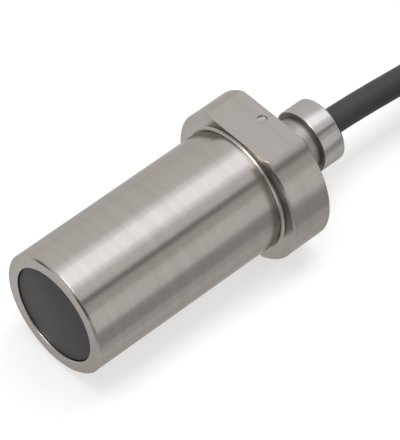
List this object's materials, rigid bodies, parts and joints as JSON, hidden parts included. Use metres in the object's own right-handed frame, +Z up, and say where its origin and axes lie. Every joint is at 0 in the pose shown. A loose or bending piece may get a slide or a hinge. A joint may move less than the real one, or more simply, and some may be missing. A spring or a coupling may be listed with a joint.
{
  "type": "inductive proximity sensor",
  "caption": "Smooth-barrel inductive proximity sensor with a flanged head, wrench flats and a fixed cable, laid on one flat with its spare cable coiled.",
  "frame": {"origin": "middle of the sensing end's front plane, on the barrel's axis", "axes": "+X along the barrel's axis towards the cable, +Z up out of the upper wrench flat"},
  "size_m": [0.1791, 0.0761, 0.0372],
  "materials": {
    "barrel_steel": "fine turned stainless",
    "head_steel": "fine turned stainless, milled flats",
    "clamp_steel": "fine turned stainless",
    "face_plastic": "moulded black, fine matt",
    "seal_rubber": "moulded",
    "ferrite": "pressed and fired, matt",
    "bobbin_plastic": "moulded",
    "copper": "enamelled wire",
    "shield_brass": "drawn tube",
    "carrier_plastic": "moulded",
    "board_laminate": "green solder mask",
    "chip_plastic": "moulded",
    "tantalum_case": "moulded yellow",
    "capacitor_body": "fired, tan",
    "resistor_body": "black glaze",
    "resin": "cast",
    "washer_steel": "stamped",
    "cable_jacket": "extruded dark grey",
    "tie_strap": "moulded",
    "wire_brown": "extruded",
    "wire_blue": "extruded",
    "wire_black": "extruded",
    "ferrule_metal": "tinned, crimped"
  },
  "bodies": {
    "root": {"barrel_sleeve": "barrel_steel", "sensing_cap": "face_plastic", "cap_seal": "seal_rubber", "head_seal": "seal_rubber", "pot_core": "ferrite", "coil_bobbin": "bobbin_plastic", "coil_winding": "copper", "shield_ring": "shield_brass", "core_carrier": "carrier_plastic", "circuit_board": "board_laminate", "oscillator_chip": "chip_plastic", "output_transistor": "chip_plastic", "tantalum_capacitor": "tantalum_case", "chip_capacitors": "capacitor_body", "chip_resistors": "resistor_body", "protection_diodes": "chip_plastic", "coil_leads": "copper", "sensor_head": "head_steel", "cable_grommet": "seal_rubber", "clamp_washer": "washer_steel", "cable_clamp_cap": "clamp_steel", "jacket_end": "cable_jacket", "cable_run": "cable_jacket", "cable_tail": "cable_jacket", "cable_coil": "cable_jacket", "coil_tie": "tie_strap", "inner_wire_brown": "wire_brown", "inner_wire_blue": "wire_blue", "inner_wire_black": "wire_black", "end_wire_brown": "wire_brown", "end_wire_blue": "wire_blue", "end_wire_black": "wire_black", "wire_ferrules": "ferrule_metal", "resin_fill": "resin"}
  },
  "joints": []
}
